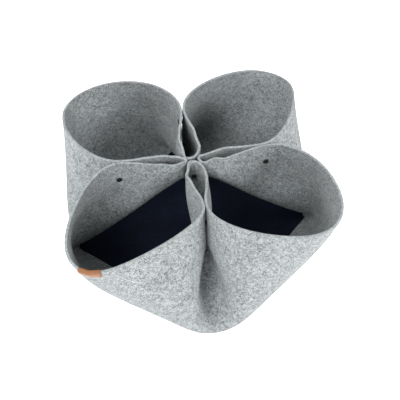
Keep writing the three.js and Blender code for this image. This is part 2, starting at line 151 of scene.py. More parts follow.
# The press stud's two halves, as rows of radius and height from the felt.
KNOB_PROFILE = [
    (0.005, 0.0), (0.005, 0.0007), (0.0023, 0.0009), (0.0019, 0.0016), (0.0022, 0.0026),
    (0.0016, 0.0031), (0.0002, 0.0031)]
SOCKET_PROFILE = [
    (0.0027, 0.0), (0.005, 0.0), (0.005, 0.0018), (0.0045, 0.0024), (0.003, 0.0024),
    (0.0027, 0.002), (0.0027, 0.0)]

# ---- the stage: each lamp's place, size and watts ----
LIGHTS = {
    "top_light": ((-0.5, -0.8, 2.3), 1.0, 15.0),
    "front_light": ((0.3, -1.9, 1.6), 1.0, 36.0),
    "right_light": ((2.1, 0.5, 1.2), 1.0, 40.0),
    "left_light": ((-1.9, -0.4, 0.9), 1.0, 9.0),
}
LIT_POINT = (0.0, 0.0, 0.1)          # the point that the lamps face
STAGE_REACH = 4.0                    # from the middle to each side of the floor

# ---- the finishes ----
THREAD_DARK = (0.16, 0.07, 0.03, 1.0)
THREAD_LIGHT = (0.32, 0.16, 0.08, 1.0)

# Layers of fibres in the felt: how each is turned and drawn out, how close its fibres lie, and how
# wide they are as a share of their noise.
FIBRES = [
    ((0.3, 0.7, 0.2), (1.0, 0.5, 0.8), 115.0, 0.024),
    ((1.1, 0.2, 1.3), (0.5, 1.0, 0.8), 145.0, 0.024),
    ((0.6, 1.4, 2.2), (0.8, 0.5, 1.0), 185.0, 0.024),
    ((2.1, 0.4, 0.9), (0.6, 1.0, 0.6), 240.0, 0.026),
]


def length_prop(name, description, default, low, high):
    """A length, in metres, that the user can change."""
    return bpy.props.FloatProperty(
        name=name, description=description, default=default, min=low, max=high, unit="LENGTH")


def colour_prop(name, description, default):
    """A colour that the user can change."""
    return bpy.props.FloatVectorProperty(
        name=name, description=description, default=default, size=3, min=0, max=1, subtype="COLOR")


class TunnelBedSizes(bpy.types.PropertyGroup):
    """Sizes of the bed's pieces."""

    felt_thickness: length_prop("Felt thickness", "Thickness of the felt sheet", 0.005, 0.002, 0.01)
    edge_chamfer: length_prop(
        "Edge chamfer", "How far the felt's cut edge is rounded off", 0.0005, 0.0, 0.002)
    mat_thickness: length_prop("Mat thickness", "Thickness of the floor mat", 0.003, 0.001, 0.02)
    cap_radius: length_prop("Cap radius", "Radius of a press stud's cap", 0.0062, 0.003, 0.01)
    cap_height: length_prop("Cap height", "Height of a press stud's cap", 0.0022, 0.001, 0.004)
    tag_leg: length_prop(
        "Tag leg", "How far the leather tag reaches down each face of the felt", 0.0115, 0.008, 0.03)
    tag_thickness: length_prop(
        "Tag thickness", "Thickness of the leather tag", 0.0016, 0.001, 0.003)


class TunnelBedColours(bpy.types.PropertyGroup):
    """Colours of the bed's pieces."""

    felt_light: colour_prop(
        "Felt, light fibres", "Colour of the felt's light fibres", (0.43, 0.46, 0.47))
    felt_dark: colour_prop(
        "Felt, dark fibres", "Colour of the felt's dark fibres", (0.055, 0.062, 0.064))
    mat_navy: colour_prop("Mat", "Colour of the floor mat", (0.0028, 0.0055, 0.016))
    leather: colour_prop("Leather", "Colour of the leather tag", (0.35, 0.14, 0.048))
    stud_metal: colour_prop("Studs", "Colour of the press studs", (0.02, 0.021, 0.023))


class TunnelBedStage(bpy.types.PropertyGroup):
    """The floor, the lights and the camera."""

    azimuth: bpy.props.FloatProperty(
        name="Azimuth", description="How far round to the right the camera stands",
        default=math.radians(35.0), subtype="ANGLE")
    elevation: bpy.props.FloatProperty(
        name="Elevation", description="How far above the horizon the camera stands",
        default=math.radians(48.5), subtype="ANGLE")
    distance: length_prop("Distance", "From the aim point to the camera", 1.27, 0.2, 10.0)
    aim: bpy.props.FloatVectorProperty(
        name="Aim point", description="The point that the camera looks at",
        default=(0.0149, 0.0049, 0.1126), size=3, subtype="TRANSLATION", unit="LENGTH")
    lens: bpy.props.FloatProperty(
        name="Focal length", description="Focal length of the camera on a 36 mm sensor",
        default=51.1, min=10.0, max=200.0, unit="CAMERA")
    floor: colour_prop("Floor", "Colour of the floor", (0.86, 0.86, 0.86))
    floor_glow: bpy.props.FloatProperty(
        name="Floor glow", description="Light that the floor gives from below",
        default=1.2, min=0.0, max=5.0)
    room_light: bpy.props.FloatProperty(
        name="Room light", description="Soft light from all round",
        default=0.52, min=0.0, max=5.0)


# ---------------------------------------------------------------- the draped sheet


class FlatSheet:
    """The square of felt as a grid, with the springs that hold it together."""

    def __init__(self, split):
        self.split = split
        steps = np.repeat(np.array(HALF_STEPS) / split, split)
        self.lines = np.concatenate([[0.0], np.cumsum(np.concatenate([steps, steps[::-1]]))]) - HALF
        self.count = len(self.lines)
        self.x, self.y = np.meshgrid(self.lines, self.lines)
        self.sign_x = np.where(self.x < 0, -1, 1)
        self.sign_y = np.where(self.y < 0, -1, 1)
        across = DIAGONAL * (self.y * self.sign_x - self.x * self.sign_y)
        self.side = np.where(np.abs(across) < 1e-6, 0, np.sign(across))
        self.normal_x = -self.sign_y * DIAGONAL
        self.normal_y = self.sign_x * DIAGONAL
        self.reach = np.maximum(np.abs(self.x), np.abs(self.y))
        self.inner = np.minimum(np.abs(self.x), np.abs(self.y))
        on_floor = self.reach < FLOOR_HALF + 1e-6
        self.floor = on_floor & (np.hypot(self.x, self.y) < FLOOR_HALF * FLOOR_ROUND)
        steps_in = np.minimum(np.arange(self.count), self.count - 1 - np.arange(self.count))
        cells_x, cells_y = np.meshgrid(steps_in, steps_in)
        most, least = np.maximum(cells_x, cells_y), np.minimum(cells_x, cells_y)
        self.absent = (most < TIP_CELLS * split) & (least < (TIP_CELLS - 1) * split)
        fin_from = HALF - sum(BORDER_STEPS + TIP_STEPS) - FIN_CELLS * FLAP_STEPS[0]
        self.fin = (self.inner > fin_from) & ~self.absent & ~self.floor
        self.loose = ~self.absent & ~self.floor
        self.pressed = np.zeros_like(self.absent)
        apart = np.zeros_like(self.x)
        for corner in CORNERS.values():
            for inset in range(corner["press"] * split + 1):
                depth = HALF - abs(self.lines[inset])
                near = math.exp(-(((depth - sum(BORDER_STEPS)) / STUD_LENGTH) ** 2))
                opened = CLOSED_GAP + (LAYER_GAP - CLOSED_GAP) * near
                for spot in ((STUD_CELLS * split, inset), (inset, STUD_CELLS * split)):
                    self.pressed[self.from_corner(corner, *spot)] = True
                    apart[self.from_corner(corner, *spot)] = opened
        gap = np.where(self.pressed, (apart + FELT_THICKNESS) / 2, LAYER_ROOM)
        self.room = self.side * gap
        self.quarter = np.full_like(self.x, LAYER_ROOM)
        for corner in CORNERS.values():
            mine = (self.sign_x == corner["x"]) & (self.sign_y == corner["y"])
            self.quarter[mine] += corner["shift"]
        self.springs = self.make_springs()
        self.triples = self.make_triples()

    def from_corner(self, corner, cells_x, cells_y):
        """Row and column of the grid point that many cells in from a corner."""
        last = self.count - 1
        column = last - cells_x if corner["x"] > 0 else cells_x
        row = last - cells_y if corner["y"] > 0 else cells_y
        return row, column

    def number(self, corner, cells_x, cells_y):
        """The number of that grid point, counted row by row."""
        row, column = self.from_corner(corner, cells_x, cells_y)
        return row * self.count + column

    def make_springs(self):
        """Neighbours along the grid and across it, with their flat distance and stiffness."""
        every, low, high = slice(None), slice(0, -1), slice(1, None)
        ways = [
            ((every, low), (every, high), 1.0),
            ((low, every), (high, every), 1.0),
            ((low, low), (high, high), 0.5),
            ((low, high), (high, low), 0.5),
        ]
        springs = []
        for a, b, share in ways:
            length = np.hypot(self.x[b] - self.x[a], self.y[b] - self.y[a])
            stiff = STRETCH * share * ~(self.absent[a] | self.absent[b])
            springs.append((a, b, length, stiff))
        return springs

    def make_triples(self):
        """Three points in a line, with the weights that give its curvature."""
        every, low, mid, high = slice(None), slice(0, -2), slice(1, -1), slice(2, None)
        ways = [
            ((every, low), (every, mid), (every, high)),
            ((low, every), (mid, every), (high, every)),
            ((low, low), (mid, mid), (high, high)),
            ((low, high), (mid, mid), (high, low)),
        ]
        triples = []
        for a, m, b in ways:
            gap_a = np.hypot(self.x[m] - self.x[a], self.y[m] - self.y[a])
            gap_b = np.hypot(self.x[b] - self.x[m], self.y[b] - self.y[m])
            span = (gap_a + gap_b) / 2
            whole = ~(self.absent[a] | self.absent[m] | self.absent[b])
            weight = BEND * span * WALL_STEPS[0] / self.split * whole
            weights = [w[..., None] for w in (1 / (gap_a * span), 1 / (gap_b * span), weight)]
            triples.append((a, m, b, *weights))
        return triples

    def first_shape(self):
        """A rough cup that the search starts from."""
        lift = np.maximum(0, (self.reach - FLOOR_HALF) / (HALF - FLOOR_HALF))
        skew = self.inner / np.maximum(self.reach, 1e-9)
        lean = 1 + 0.7 * lift * (1 - skew**2)
        draw = 1 - skew**4 * lift * 0.97
        scale = np.where(self.floor, 1, FLOOR_HALF / np.maximum(self.reach, 1e-9) * lean * draw)
        height = MIDDLE_HEIGHT + lift * (HALF - FLOOR_HALF) * 0.92
        return np.stack([self.x * scale, self.y * scale, height], -1)

    def energy(self, flat_place):
        """The energy of a shape and its slope. A lower energy is a better drape."""
        place = flat_place.reshape(self.count, self.count, 3)
        slope = np.zeros_like(place)
        total = 0.0
        for a, b, length, stiff in self.springs:
            way = place[b] - place[a]
            now = np.sqrt((way * way).sum(-1))
            extra = now - length
            total += (stiff * extra * extra).sum()
            pull = (2 * stiff * extra / np.maximum(now, 1e-9))[..., None] * way
            slope[a] -= pull
            slope[b] += pull
        for a, m, b, weight_a, weight_b, weight in self.triples:
            curve = (place[b] - place[m]) * weight_b - (place[m] - place[a]) * weight_a
            total += (weight * curve * curve).sum()
            push = 2 * weight * curve
            slope[a] += push * weight_a
            slope[b] += push * weight_b
            slope[m] -= push * (weight_a + weight_b)

        def hold(where, axis, want, grip):
            off = place[where][..., axis] - want
            slope[..., axis][where] += 2 * grip * off
            return float((grip * off * off).sum())

        for axis, want in enumerate((self.x, self.y, np.full_like(self.x, MIDDLE_HEIGHT))):
            total += hold(self.floor, axis, want[self.floor], HOLD)
        total += hold(self.loose & (place[..., 2] < MIDDLE_HEIGHT), 2, MIDDLE_HEIGHT, HOLD)
        # Each layer of a corner keeps to its own side of the corner's diagonal plane.
        across = place[..., 0] * self.normal_x + place[..., 1] * self.normal_y
        miss = across - self.room
        acts = self.loose & ((self.side == 0) | self.pressed | (miss * self.side < 0))
        grip = np.where(self.pressed, HOLD, KEEP_OFF) * acts
        total += (grip * miss * miss).sum()
        slope[..., 0] += 2 * grip * miss * self.normal_x
        slope[..., 1] += 2 * grip * miss * self.normal_y
        # The four drawn-in corners keep to their own quarters.
        for axis, sign in ((0, self.sign_x), (1, self.sign_y)):
            short = self.fin & (place[..., axis] * sign < self.quarter)
            total += hold(short, axis, (self.quarter * sign)[short], KEEP_OFF)
        # The far edge of each mouth leans out by its own amount, with its own curve left to it.
        near = np.abs(self.lines) < LEAN_REACH
        share = np.exp(-((self.lines / LEAN_WIDTH) ** 2)) * near
        share /= share.sum()
        for mouth in MOUTHS.values():
            sign = mouth["x"] + mouth["y"]
            rim = -1 if sign > 0 else 0
            axis = 0 if mouth["x"] else 1
            where = (slice(None), rim, axis) if mouth["x"] else (rim, slice(None), axis)
            off = float(place[where] @ share) - mouth["out"] * sign
            total += LEAN * off * off
            slope[where] += 2 * LEAN * off * share
        for corner in CORNERS.values():
            total += self.hold_corner(corner, place, slope, hold)
        return total, slope.ravel()

    def hold_corner(self, corner, place, slope, hold):
        """The press stud of a corner, and the ends of its edges and of its fold in the bunch."""
        split, x, y = self.split, corner["x"], corner["y"]
        out = np.array([x * DIAGONAL, y * DIAGONAL, 0.0])
        one = self.from_corner(corner, STUD_CELLS * split, BORDER_CELLS * split)
        two = self.from_corner(corner, BORDER_CELLS * split, STUD_CELLS * split)
        apart = place[one] - place[two]
        off = (apart @ out) * out + np.array([0, 0, apart[2]])
        slope[one] += 2 * HOLD * off
        slope[two] -= 2 * HOLD * off
        total = HOLD * float(off @ off)
        tip, (across, along) = TIP_CELLS * split, corner["ends"]
        for cells_x, cells_y, want_x, want_y in ((tip, 0, across, along), (0, tip, along, across)):
            end = self.from_corner(corner, cells_x, cells_y)
            for axis, want in enumerate((x * want_x, y * want_y, BUNCH_HEIGHT)):
                total += hold(end, axis, want, HOLD)
        reach, height = corner["fold"]
        end = self.from_corner(corner, tip - split, tip - split)
        for axis, want in enumerate((out[0] * reach, out[1] * reach, height)):
            total += hold(end, axis, want, HOLD)
        return total

    def settle(self, place, steps):
        """Limited-memory quasi-Newton search for the shape of least energy."""
        spot = place.ravel().copy()
        value, slope = self.energy(spot)
        history = []
        for _ in range(steps):
            way = -slope
            factors = []
            for move, change, scale in reversed(history):
                factors.append(scale * (move @ way))
                way = way - factors[-1] * change
            if history:
                move, change, _scale = history[-1]
                way = way * ((move @ change) / (change @ change))
            for (move, change, scale), factor in zip(history, reversed(factors)):
                way = way + (factor - scale * (change @ way)) * move
            fall = slope @ way
            reach = 1.0 if history else 1.0 / math.sqrt(slope @ slope)
            for _trial in range(25):
                after = spot + reach * way
                after_value, after_slope = self.energy(after)
                if after_value <= value + 1e-4 * reach * fall:
                    break
                reach *= 0.5
            if after_value >= value:
                if not history:
                    break
                history = []
                continue
            move, change = after - spot, after_slope - slope
            curve = move @ change
            if curve > 1e-12:
                history = [*history[1 - MEMORY:], (move, change, 1 / curve)]
            spot, slope, value = after, after_slope, after_value
        return spot.reshape(self.count, self.count, 3)


def finer(coarse, place, split):
    """The same sheet on a grid that many times finer."""
    fine = FlatSheet(coarse.split * split)
    rows = [[np.interp(fine.lines, coarse.lines, row[:, axis]) for axis in range(3)] for row in place]
    rows = np.array(rows).transpose(0, 2, 1)
    columns = [
        [np.interp(fine.lines, coarse.lines, rows[:, k, axis]) for axis in range(3)]
        for k in range(fine.count)
    ]
    return fine, np.array(columns).transpose(2, 0, 1)


def crumple(place):
    """Works small waves into the bunched edges of a settled sheet."""
    x, y, z = (place[..., axis].copy() for axis in range(3))
    rise = np.clip((z - CRUMPLE_FROM) / CRUMPLE_RISE, 0, 1)
    depth = CRUMPLE_DEPTH * rise**2 * np.exp(-((np.hypot(x, y) / CRUMPLE_REACH) ** 2))
    turn = 2 * math.pi / CRUMPLE_LENGTH
    for axis, (share, along_x, along_y, phase) in enumerate(CRUMPLE_WAVES):
        place[..., axis] += share * depth * np.sin(turn * (x * along_x + y * along_y) + phase)


def drape_felt():
    """The settled sheet: its grid and the place of every grid point, in metres."""
    coarse = FlatSheet(1)
    place = coarse.settle(coarse.first_shape(), COARSE_STEPS)
    fine, place = finer(coarse, place, 2)
    place = fine.settle(place, FINE_STEPS)
    place[..., 2][fine.floor] = MIDDLE_HEIGHT
    place[..., 2] = np.maximum(place[..., 2], MIDDLE_HEIGHT)
    crumple(place)
    return fine, place * MM


DRAPE = {}


def felt_grid():
    """The draped sheet, settled once and kept."""
    if not DRAPE:
        DRAPE["sheet"], DRAPE["place"] = drape_felt()
    return DRAPE["sheet"], DRAPE["place"]


# ---------------------------------------------------------------- meshes


def new_object(name, points, faces, smooth=True):
    """A mesh object from points and faces."""
    mesh = bpy.data.meshes.new(name)
    mesh.from_pydata([tuple(p) for p in points], [], [tuple(f) for f in faces])
    mesh.validate()
    mesh.update()
    for polygon in mesh.polygons:
        polygon.use_smooth = smooth
    piece = bpy.data.objects.new(name, mesh)
    bpy.context.scene.collection.objects.link(piece)
    return piece


def write_places(piece, flat):
    """Keeps each corner's place in the flat, cut felt as the layer "cut"."""
    layer = piece.data.uv_layers.new(name="cut")
    for loop in piece.data.loops:
        layer.data[loop.index].uv = flat[loop.vertex_index]


def applied(piece):
    """The piece with its modifiers made into mesh."""
    depsgraph = bpy.context.evaluated_depsgraph_get()
    mesh = bpy.data.meshes.new_from_object(piece.evaluated_get(depsgraph))
    piece.modifiers.clear()
    old, piece.data = piece.data, mesh
    bpy.data.meshes.remove(old)
    return piece


def tip_bows(sheet, place):
    """The tucked tips: at each corner, a rounded wall that closes the end of its two layers.

    Returns the wall's own points, and quads that join them to the sheet's.
    """
    points, quads = [], []
    depth = (TIP_CELLS - 1) * sheet.split
    tip = TIP_CELLS * sheet.split
    halves = tip - depth
    base = sheet.count * sheet.count
    for corner in CORNERS.values():
        fold = place[sheet.from_corner(corner, depth, depth)]
        rows = []
        for step in range(depth):
            one = place[sheet.from_corner(corner, tip, step)]
            two = place[sheet.from_corner(corner, step, tip)]
            share = (step / depth) ** BOW_FADE
            out = np.array([corner["x"], corner["y"], 0.0])
            front = min(one[:2] @ out[:2], two[:2] @ out[:2]) / 2
            nose = out * (front - BOW_DEPTH * MM) + np.array([0, 0, (one[2] + two[2]) / 2])
            nose = nose * (1 - share) + fold * share
            row = [sheet.number(corner, tip, step)]
            for k in range(1, 2 * halves):
                along = k / (2 * halves)
                flat = one * (1 - along) + two * along
                bulge = 1 - abs(2 * along - 1) ** BOW_ROUND
                row.append(base + len(points))
                middle = (one + two) / 2
                points.append(flat + (nose - middle) * bulge)
            rows.append([*row, sheet.number(corner, step, tip)])
        last = [sheet.number(corner, tip - k, depth) for k in range(halves)]
        last += [sheet.number(corner, depth, depth + k) for k in range(halves + 1)]
        rows.append(last)
        for low, high in zip(rows, rows[1:]):
            for k in range(2 * halves):
                quad = (low[k], low[k + 1], high[k + 1], high[k])
                quads.append(quad if corner["x"] * corner["y"] < 0 else quad[::-1])
    return np.array(points), quads


def mid_surface(name, keep, with_bows=False):
    """The middle surface of the sheet's cells that pass keep(row, column), smoothed.

    Returns points, unit normals, flat places (0 to 1) and quads as arrays.
    """
    sheet, place = felt_grid()
    count = sheet.count
    quads, extra = [], np.zeros((0, 3))
    for row in range(count - 1):
        for column in range(count - 1):
            if keep(row, column):
                a = row * count + column
                quads.append((a, a + 1, a + 1 + count, a + count))
    if with_bows:
        extra, more = tip_bows(sheet, place)
        quads += more
    used = sorted({k for quad in quads for k in quad})
    index = {k: n for n, k in enumerate(used)}
    flat = np.stack([sheet.x.ravel(), sheet.y.ravel()], -1)
    flat = np.concatenate([flat, extra[:, :2] / MM])[used] / (2 * HALF) + 0.5
    points = np.concatenate([place.reshape(-1, 3), extra])[used]
    piece = new_object(name, points, [[index[k] for k in quad] for quad in quads])
    write_places(piece, flat)
    smooth = piece.modifiers.new("smooth", "SUBSURF")
    smooth.levels = smooth.render_levels = 1
    smooth.uv_smooth = "NONE"
    applied(piece)
    mesh = piece.data
    spots = np.array([v.co[:] for v in mesh.vertices])
    normals = np.array([v.normal[:] for v in mesh.vertices])
    faces = np.array([p.vertices[:] for p in mesh.polygons])
    places = np.zeros((len(spots), 2))
    for loop, uv in zip(mesh.loops, mesh.uv_layers["cut"].data):
        places[loop.vertex_index] = uv.uv
    bpy.data.objects.remove(piece)
    return spots, normals, places, faces


def rim_edges(faces):
    """The directed edges that only one face uses."""
    edges = {}
    for face in faces.tolist():
        for a, b in zip(face, face[1:] + face[:1]):
            if (b, a) in edges:
                del edges[(b, a)]
            else:
                edges[(a, b)] = True
    return list(edges)


def rim_outward(spots, normals, edges):
    """For each vertex on the rim, the unit way out of the sheet."""
    outward = {}
    for a, b in edges:
        along = spots[b] - spots[a]
        side = np.cross(along, normals[a] + normals[b])
        side /= np.linalg.norm(side) + 1e-12
        for k in (a, b):
            outward[k] = outward.get(k, 0) + side
    return {k: v / (np.linalg.norm(v) + 1e-12) for k, v in outward.items()}


def slab(name, surface, upper, lower, chamfer):
    """A closed sheet between two distances from a middle surface, its cut edge chamfered."""
    spots, normals, places, faces = surface
    edges = rim_edges(faces)
    outward = rim_outward(spots, normals, edges)
    top = spots + normals * upper
    bottom = spots + normals * lower
    count = len(spots)
    points = [*top, *bottom]
    flat = [*places, *places]
    rings = {}
    for k, way in outward.items():
        rings[k] = (len(points), len(points) + 1)
        points.append(spots[k] + normals[k] * (upper - chamfer) + way * chamfer)
        points.append(spots[k] + normals[k] * (lower + chamfer) + way * chamfer)
        flat += [places[k], places[k]]
    quads = [list(face) for face in faces]
    quads += [[k + count for k in reversed(face)] for face in faces.tolist()]
    rim_from = len(quads)
    for a, b in edges:
        up_a, down_a = rings[a]
        up_b, down_b = rings[b]
        quads += [[b, a, up_a, up_b], [up_b, up_a, down_a, down_b]]
        quads += [[down_b, down_a, a + count, b + count]]
    piece = new_object(name, points, quads)
    write_places(piece, flat)
    rim = piece.data.attributes.new("rim", "FLOAT", "FACE")
    for polygon in piece.data.polygons[rim_from:]:
        rim.data[polygon.index].value = 1.0
    borders = {tuple(sorted(e)) for e in edges}
    borders |= {tuple(sorted((a + count, b + count))) for a, b in edges}
    for edge in piece.data.edges:
        if tuple(sorted(edge.vertices)) in borders:
            edge.use_edge_sharp = True
    return piece


def tube_faces(rings, steps, start=0):
    """Quads that join rings of that many points, and a face over each end."""
    faces = []
    for ring in range(rings - 1):
        for k in range(steps):
            a, b = start + ring * steps + k, start + ring * steps + (k + 1) % steps
            faces.append((a, b, b + steps, a + steps))
    faces.append(tuple(reversed(range(start, start + steps))))
    faces.append(tuple(range(start + (rings - 1) * steps, start + rings * steps)))
    return faces


def lathe(name, profile, spot, way):
    """A round piece from rows of (radius, height), standing at spot along way."""
    points = []
    for radius, height in profile:
        for k in range(ROUND_STEPS):
            turn = 2 * math.pi * k / ROUND_STEPS
            points.append((radius * math.cos(turn), radius * math.sin(turn), height))
    turned = Vector(way).normalized().to_track_quat("Z", "Y")
    points = [turned @ Vector(p) + Vector(spot) for p in points]
    return new_object(name, points, tube_faces(len(profile), ROUND_STEPS))


# ---------------------------------------------------------------- materials


def node_group(name, inputs, outputs):
    """An empty shader node group with those sockets, and its input and output nodes."""
    group = bpy.data.node_groups.new(name, "ShaderNodeTree")
    for socket, kind, default in inputs:
        made = group.interface.new_socket(name=socket, in_out="INPUT", socket_type=kind)
        made.default_value = default
    for socket, kind in outputs:
        group.interface.new_socket(name=socket, in_out="OUTPUT", socket_type=kind)
    return group, group.nodes.new("NodeGroupInput"), group.nodes.new("NodeGroupOutput")


class Wiring:
    """Short ways to add and join nodes in one tree."""

    def __init__(self, tree):
        self.tree = tree

    def add(self, kind, **settings):
        node = self.tree.nodes.new(kind)
        for key, value in settings.items():
            setattr(node, key, value)
        return node

    def put(self, socket, value):
        if isinstance(value, bpy.types.NodeSocket):
            self.tree.links.new(value, socket)
        else:
            socket.default_value = value

    def math(self, operation, a, b=0.0, clamp=False):
        node = self.add("ShaderNodeMath", operation=operation, use_clamp=clamp)
        self.put(node.inputs[0], a)
        self.put(node.inputs[1], b)
        return node.outputs[0]

    def place(self):
        """The piece's own coordinates."""
        return self.add("ShaderNodeTexCoord").outputs["Object"]

    def mix(self, factor, a, b):
        node = self.add("ShaderNodeMix", data_type="RGBA")
        self.put(node.inputs[0], factor)
        self.put(node.inputs[6], a)
        self.put(node.inputs[7], b)
        return node.outputs[2]

    def noise(self, where, scale, detail=2.0, rough=0.5, distort=0.0):
        node = self.add("ShaderNodeTexNoise")
        self.put(node.inputs["Vector"], where)
        self.put(node.inputs["Scale"], scale)
        self.put(node.inputs["Detail"], detail)
        self.put(node.inputs["Roughness"], rough)
        self.put(node.inputs["Distortion"], distort)
        return node.outputs[0]

    def ramp(self, value, low, high):
        node = self.add("ShaderNodeMapRange", interpolation_type="SMOOTHSTEP")
        self.put(node.inputs["Value"], value)
        self.put(node.inputs["From Min"], low)
        self.put(node.inputs["From Max"], high)
        return node.outputs[0]

    def stretched(self, where, turn, scale):
        node = self.add("ShaderNodeMapping")
        self.put(node.inputs["Vector"], where)
        node.inputs["Rotation"].default_value = turn
        node.inputs["Scale"].default_value = scale
        return node.outputs[0]


def fibre_group():
    """Heathered fibres: a mask of dark fibres, soft mottling and the height of the fuzz."""
    found = bpy.data.node_groups.get("heathered_fibres")
    if found:
        return found
    group, inside, outside = node_group(
        "heathered_fibres",
        [("Place", "NodeSocketVector", (0, 0, 0)), ("Fibre scale", "NodeSocketFloat", 1.0)],
        [(name, "NodeSocketFloat") for name in ("Dark fibres", "Mottle", "Height")],
    )
    wire = Wiring(group)
    scaled = wire.add("ShaderNodeVectorMath", operation="SCALE")
    wire.put(scaled.inputs[0], inside.outputs["Place"])
    wire.put(scaled.inputs["Scale"], inside.outputs["Fibre scale"])
    place = scaled.outputs[0]
    # A fibre is the thin line along which a noise passes its middle value.
    strands = []
    for turn, scale, size, width in FIBRES:
        where = wire.stretched(place, turn, scale)
        line = wire.noise(where, size, 3.0, 0.62, 0.8)
        away = wire.math("ABSOLUTE", wire.math("SUBTRACT", line, 0.5))
        strands.append(wire.math("SUBTRACT", 1.0, wire.ramp(away, width * 0.3, width)))
    dark = strands[0]
    for strand in strands[1:]:
        dark = wire.math("MAXIMUM", dark, strand)
    patch = wire.noise(place, 85.0, 3.0, 0.65, 0.4)
    broad = wire.noise(place, 22.0, 2.0, 0.5)
    wire.put(outside.inputs["Dark fibres"], wire.math("MULTIPLY", dark, wire.ramp(patch, 0.28, 0.50)))
    wire.put(outside.inputs["Mottle"], wire.math("ADD", wire.math("MULTIPLY", patch, 0.65),
                                                 wire.math("MULTIPLY", broad, 0.35)))
    fuzz = wire.noise(place, 900.0, 3.0, 0.6)
    lumps = wire.noise(place, 160.0, 2.0, 0.5)
    height = wire.math("ADD", wire.math("MULTIPLY", fuzz, 0.40), wire.math("MULTIPLY", lumps, 0.50))
    height = wire.math("SUBTRACT", height, wire.math("MULTIPLY", dark, 0.15))
    wire.put(outside.inputs["Height"], height)
    return group


def new_material(name):
    """A material with its Principled shader and wiring."""
    material = bpy.data.materials.new(name)
    material.use_nodes = True
    shader = material.node_tree.nodes["Principled BSDF"]
    return material, shader, Wiring(material.node_tree)


def rgb(colour, share=1.0):
    """The colour, at that share of its brightness, as a shader takes it."""
    return (*(c * share for c in colour[:3]), 1.0)


def set_values(shader, **values):
    """Sets the shader's plain values. An underscore in a name stands for a space."""
    for name, value in values.items():
        shader.inputs[name.replace("_", " ")].default_value = value


def add_bump(wire, shader, height, strength, distance):
    """Raises the surface by a height, as a share of that distance."""
    bump = wire.add("ShaderNodeBump")
    bump.inputs["Strength"].default_value = strength
    bump.inputs["Distance"].default_value = distance
    wire.put(bump.inputs["Height"], height)
    wire.put(shader.inputs["Normal"], bump.outputs[0])


def use_fibres(wire, scale):
    """The fibre group placed in a material, on the piece's own coordinates."""
    where = wire.place()
    fibres = wire.add("ShaderNodeGroup", node_tree=fibre_group())
    wire.put(fibres.inputs["Place"], where)
    wire.put(fibres.inputs["Fibre scale"], scale)
    return where, fibres


def felt_material():
    """Pressed felt: light fibres with darker ones mixed in, and a soft fuzz."""
    colours = bpy.context.scene.tunnel_bed_colours
    material, shader, wire = new_material("felt")
    _where, fibres = use_fibres(wire, 1.0)
    light, dark = rgb(colours.felt_light), rgb(colours.felt_dark)
    mottled = wire.mix(wire.ramp(fibres.outputs["Mottle"], 0.40, 0.60),
                       rgb(light, 0.80), light)
    faces = wire.mix(wire.math("MULTIPLY", fibres.outputs["Dark fibres"], 0.88), mottled, dark)
    rim = wire.add("ShaderNodeAttribute", attribute_name="rim")
    pale = rgb(light, 0.90)
    share = wire.math("MULTIPLY", rim.outputs["Fac"], 0.35)
    wire.put(shader.inputs["Base Color"], wire.mix(share, faces, pale))
    add_bump(wire, shader, fibres.outputs["Height"], 0.7, 0.0016)
    set_values(shader, Roughness=0.95, Specular_IOR_Level=0.15, Sheen_Weight=0.12,
               Sheen_Roughness=0.6)
    return material


def mat_material():
    """Close navy cloth with a fine plain weave and a little lint."""
    colours = bpy.context.scene.tunnel_bed_colours
    material, shader, wire = new_material("mat")
    where, fibres = use_fibres(wire, 1.4)
    navy = rgb(colours.mat_navy)
    lint = wire.mix(wire.math("MULTIPLY", fibres.outputs["Dark fibres"], 0.35), navy,
                    rgb([c * 2.2 + 0.004 for c in colours.mat_navy]))
    wire.put(shader.inputs["Base Color"], wire.mix(wire.ramp(fibres.outputs["Mottle"], 0.3, 0.7),
                                                   rgb(navy, 0.75), lint))
    split = wire.add("ShaderNodeSeparateXYZ")
    wire.put(split.inputs[0], where)
    threads = []
    for axis in range(2):
        turned = wire.math("MULTIPLY", split.outputs[axis], 2 * math.pi / 0.0016)
        threads.append(wire.math("SINE", turned))
    weave = wire.math("MULTIPLY", threads[0], threads[1])
    height = wire.math("ADD", wire.math("MULTIPLY", weave, 0.35), fibres.outputs["Height"])
    add_bump(wire, shader, height, 0.4, 0.0006)
    set_values(shader, Roughness=0.9, Specular_IOR_Level=0.2)
    return material


def leather_material():
    """Tan leather with a fine grain whose colour is darker along the grain's hollows, and a tone that
    differs at random.
    """
    colours = bpy.context.scene.tunnel_bed_colours
    material, shader, wire = new_material("leather")
    where = wire.place()
    grain = wire.add("ShaderNodeTexVoronoi", feature="DISTANCE_TO_EDGE")
    wire.put(grain.inputs["Vector"], where)
    grain.inputs["Scale"].default_value = 900.0
    pores = wire.ramp(grain.outputs["Distance"], 0.0, 0.25)
    tone = wire.noise(where, 120.0, 3.0, 0.6)
    tan = rgb(colours.leather)
    worn = wire.mix(wire.ramp(tone, 0.35, 0.7), rgb(tan, 0.72), tan)
    wire.put(shader.inputs["Base Color"], wire.mix(wire.math("MULTIPLY", pores, 0.6),
                                                   rgb(tan, 0.62), worn))
    height = wire.math("ADD", pores, wire.math("MULTIPLY", tone, 0.5))
    add_bump(wire, shader, height, 0.35, 0.0004)
    wire.put(shader.inputs["Roughness"], wire.math("ADD", wire.math("MULTIPLY", tone, 0.25), 0.4))
    return material


def thread_material():
    """Waxed sewing thread with its twist."""
    material, shader, wire = new_material("thread")
    where = wire.place()
    twist = wire.add("ShaderNodeTexWave", wave_profile="SIN")
    wire.put(twist.inputs["Vector"], where)
    twist.inputs["Scale"].default_value = 900.0
    twist.inputs["Distortion"].default_value = 1.0
    wire.put(shader.inputs["Base Color"], wire.mix(twist.outputs["Fac"], THREAD_DARK, THREAD_LIGHT))
    set_values(shader, Roughness=0.7)
    return material


